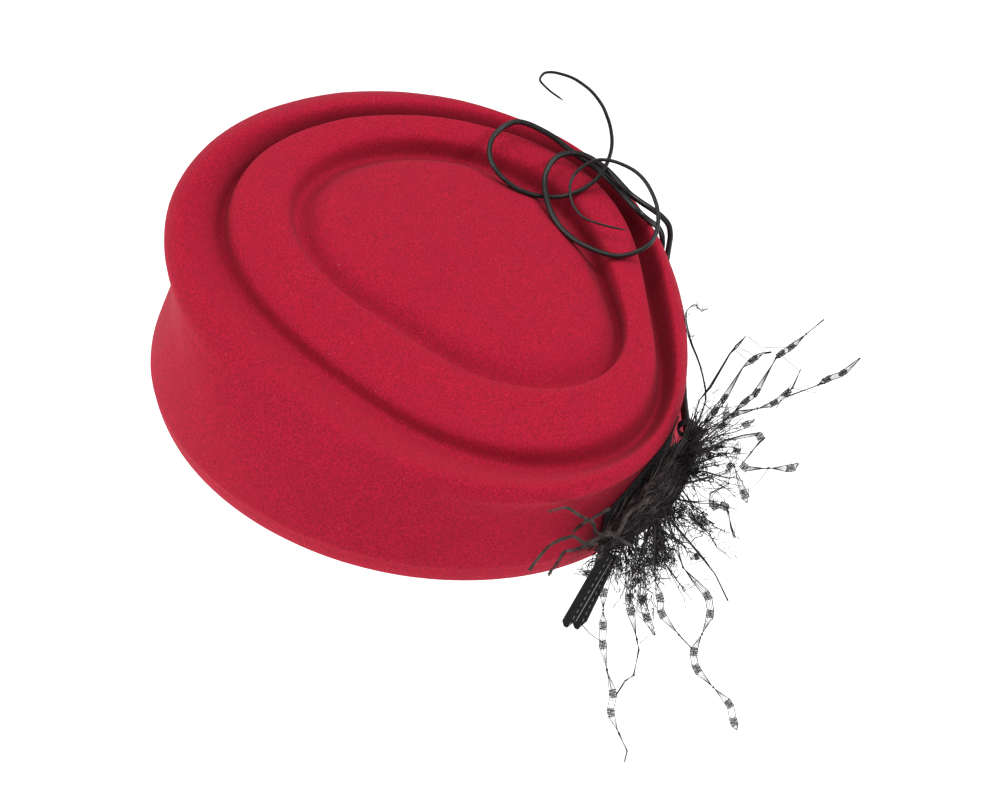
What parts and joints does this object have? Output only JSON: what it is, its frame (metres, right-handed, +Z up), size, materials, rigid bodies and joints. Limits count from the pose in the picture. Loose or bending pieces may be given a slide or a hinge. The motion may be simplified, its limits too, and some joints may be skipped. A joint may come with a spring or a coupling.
{
  "type": "fascinator headpiece",
  "caption": "Sculpted red wool-felt hat with a dished crown, black curled quills, shredded veiling trim, stitched straps, inner band and slide comb.",
  "frame": {"origin": "centre of the head opening in the plane that the hem lies in", "axes": "+Z up out of the crown, +X along the long axis to the low end beside the trim, +Y to the wearer's side that the quills curl over"},
  "size_m": [0.2971, 0.21, 0.1419],
  "materials": {
    "red_felt": "brushed wool felt",
    "steel_wire": "plain drawn wire",
    "grosgrain": "ribbed ribbon",
    "comb_plastic": "moulded",
    "black_thread": "twisted thread",
    "elastic": "braided",
    "buckram": "stiffened",
    "herl": "fine fibres",
    "quill": "stripped and dyed",
    "veiling": "fine net thread",
    "strap_leather": "satin"
  },
  "bodies": {
    "hat": {"felt_body": "red_felt", "hem_wire": "steel_wire", "head_band": "grosgrain", "comb_stitch_1": "black_thread", "comb_stitch_2": "black_thread", "comb_stitch_3": "black_thread", "comb_stitch_4": "black_thread", "elastic_loop_left": "elastic", "elastic_loop_right": "elastic", "trim_base": "buckram", "trim_core": "herl", "herl_tuft_1": "herl", "herl_tuft_2": "herl", "herl_tuft_3": "herl", "herl_tuft_4": "herl", "herl_tuft_5": "herl", "herl_tuft_6": "herl", "herl_tuft_7": "herl", "herl_tuft_8": "herl", "quill_1": "quill", "quill_2": "quill", "quill_binding": "black_thread", "veil_1": "veiling", "veil_2": "veiling", "veil_3": "veiling", "veil_4": "veiling", "veil_5": "veiling", "veil_6": "veiling", "veil_7": "veiling", "veil_8": "veiling", "veil_9": "veiling", "veil_10": "veiling", "veil_11": "veiling", "veil_12": "veiling", "veil_13": "veiling", "veil_14": "veiling", "veil_15": "veiling", "veil_16": "veiling", "veil_17": "veiling", "veil_18": "veiling", "stitched_strap_1": "strap_leather", "stitched_strap_2": "strap_leather"},
    "comb": {"slide_comb": "comb_plastic"}
  },
  "joints": [
    {"name": "comb_swing", "type": "hinge", "parent": "hat", "child": "comb", "pos_m": [-0.0976, 0, 0.005], "axis": [0, 1, 0], "range_deg": [0, 75]}
  ]
}
